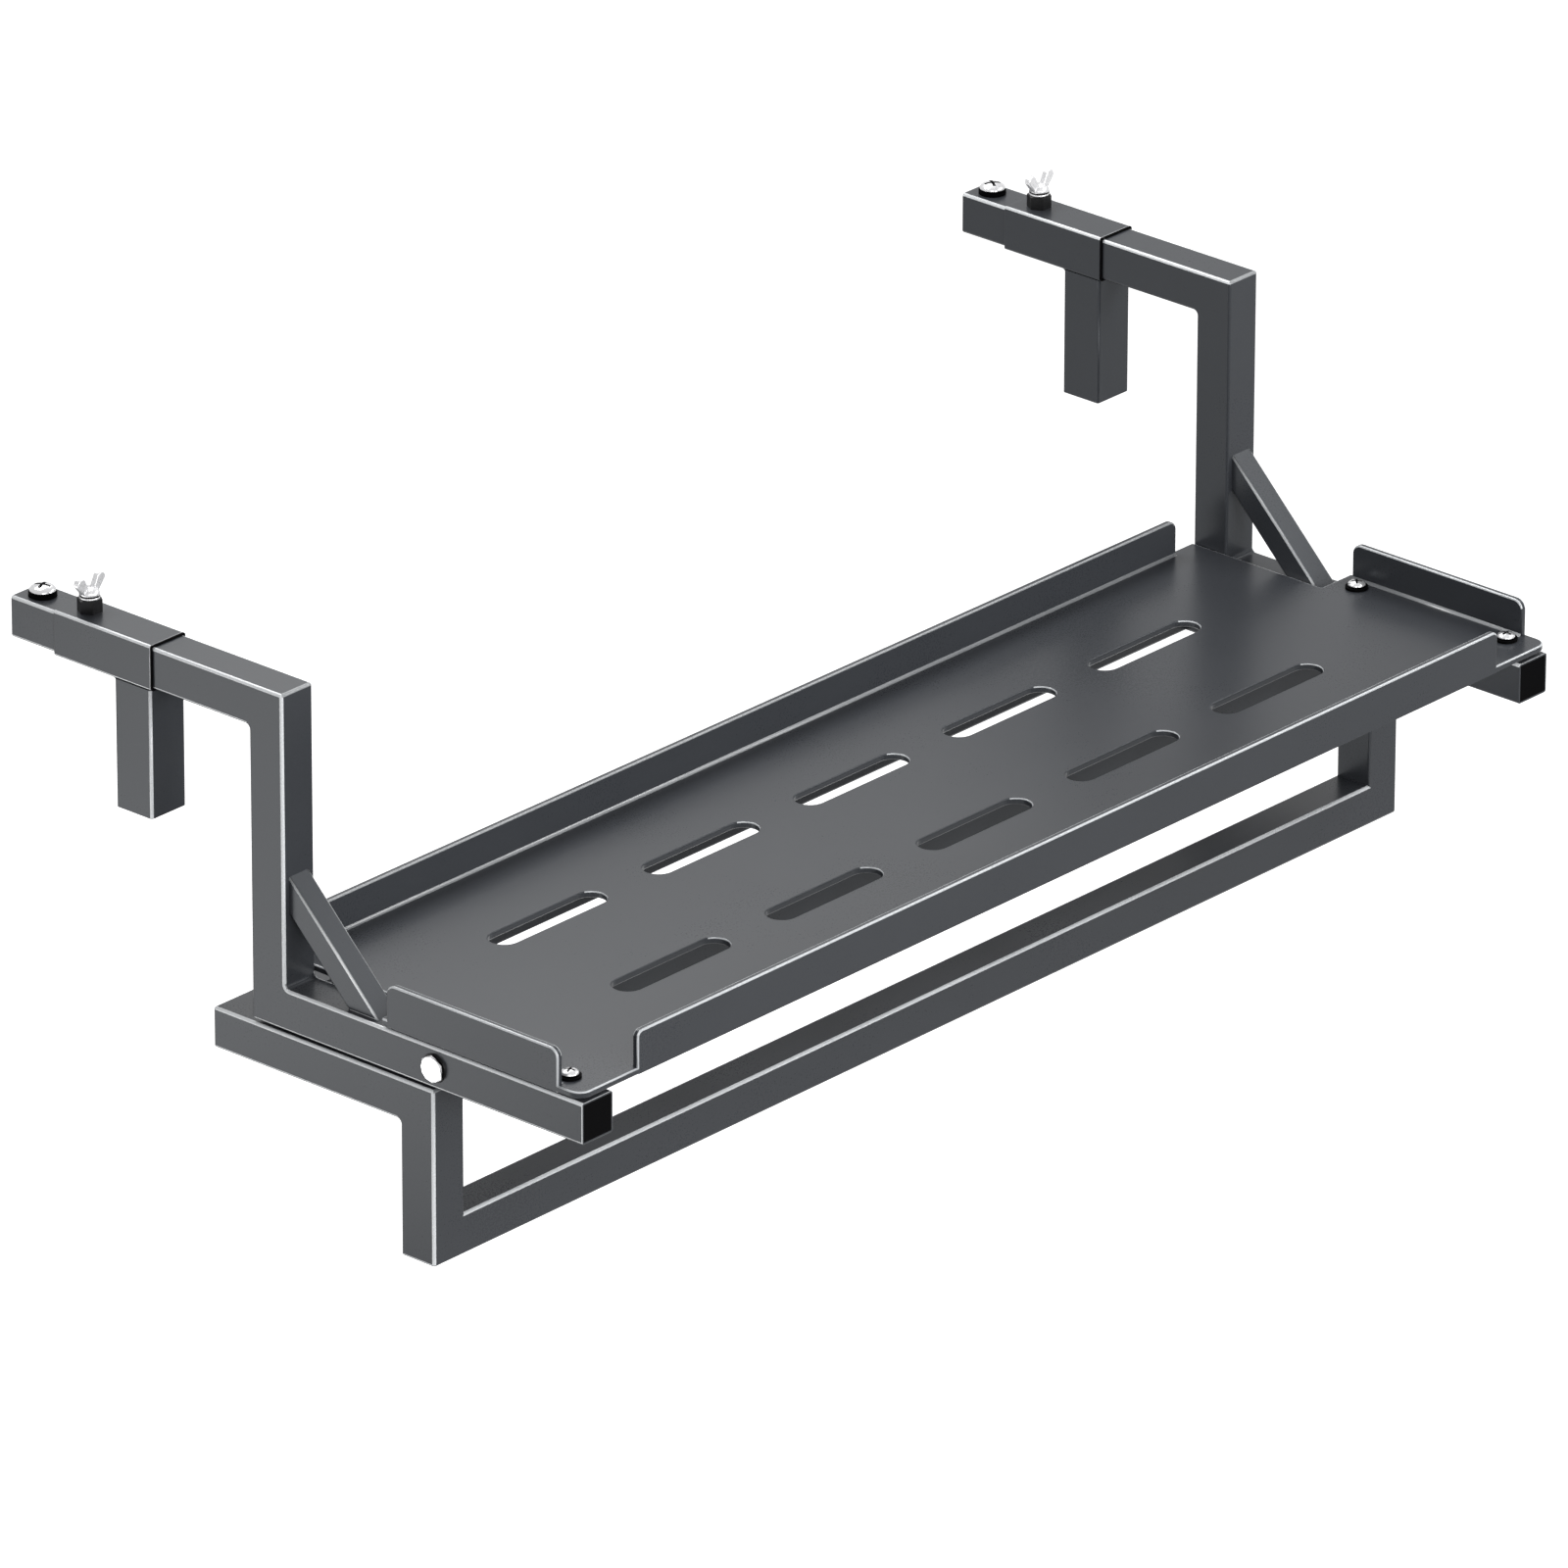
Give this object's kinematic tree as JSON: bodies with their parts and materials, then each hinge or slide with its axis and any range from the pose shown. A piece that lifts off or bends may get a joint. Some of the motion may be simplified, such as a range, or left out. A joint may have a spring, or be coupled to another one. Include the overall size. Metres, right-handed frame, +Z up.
{
  "type": "balcony railing bar table",
  "caption": "Hanging bar table for a balcony rail: lipped steel tray with drain slots on two braced arms with sliding clamp hooks, and a lower frame that bears on the balusters.",
  "frame": {"origin": "the rail's inner top corner, midway between the arms: on the plane of the posts' back faces and of the top tubes' undersides", "axes": "+X along the rail, to the right as seen from the tray's front; +Y out over the rail, away from the tray; +Z up"},
  "size_m": [0.8446, 0.43, 0.3357],
  "materials": {
    "paint": "satin dark grey powder coat",
    "plastic": "black moulded plastic",
    "chrome": "bright plated",
    "zinc": "zinc plated",
    "black_steel": "black plated steel"
  },
  "bodies": {
    "table": {"left_top_tube": "paint", "right_top_tube": "paint", "left_post": "paint", "right_post": "paint", "left_support_tube": "paint", "right_support_tube": "paint", "left_brace": "paint", "right_brace": "paint", "top_tube_plugs": "plastic", "support_tube_plugs": "plastic", "stop_screws": "chrome", "stop_washers": "plastic", "stop_rivet_nuts": "zinc", "cross_tube": "paint", "cross_tube_end_plates": "paint", "cross_tube_nuts": "zinc", "side_bolts": "chrome", "side_washers": "plastic", "tray": "paint", "tray_screws": "chrome", "tray_washers": "black_steel", "tray_pads": "plastic", "tray_rivet_nuts": "zinc", "frame_rear_tube": "paint", "frame_left_side_tube": "paint", "frame_right_side_tube": "paint", "frame_left_drop": "paint", "frame_right_drop": "paint", "frame_bottom_tube": "paint", "frame_bolts": "zinc", "frame_washers": "zinc", "frame_pads": "plastic", "frame_rivet_nuts": "zinc"},
    "left_hook": {"left_hook_sleeve": "paint", "left_sleeve_ring": "plastic", "left_hook_leg": "paint", "left_leg_plug": "plastic", "left_weld_nut": "black_steel"},
    "right_hook": {"right_hook_sleeve": "paint", "right_sleeve_ring": "plastic", "right_hook_leg": "paint", "right_leg_plug": "plastic", "right_weld_nut": "black_steel"},
    "left_wing": {"left_wing_bolt": "chrome"},
    "right_wing": {"right_wing_bolt": "chrome"}
  },
  "joints": [
    {"name": "left_hook_slide", "type": "slide", "parent": "table", "child": "left_hook", "axis": [0, 1, 0], "range_m": [-0.069, 0.0125]},
    {"name": "left_wing_turn", "type": "hinge", "parent": "left_hook", "child": "left_wing", "pos_m": [-0.4025, 0.133, 0.0342], "axis": [0, 0, 1], "range_deg": [0, 720]},
    {"name": "right_hook_slide", "type": "slide", "parent": "table", "child": "right_hook", "axis": [0, 1, 0], "range_m": [-0.069, 0.0125]},
    {"name": "right_wing_turn", "type": "hinge", "parent": "right_hook", "child": "right_wing", "pos_m": [0.4025, 0.133, 0.0342], "axis": [0, 0, 1], "range_deg": [0, 720]}
  ]
}
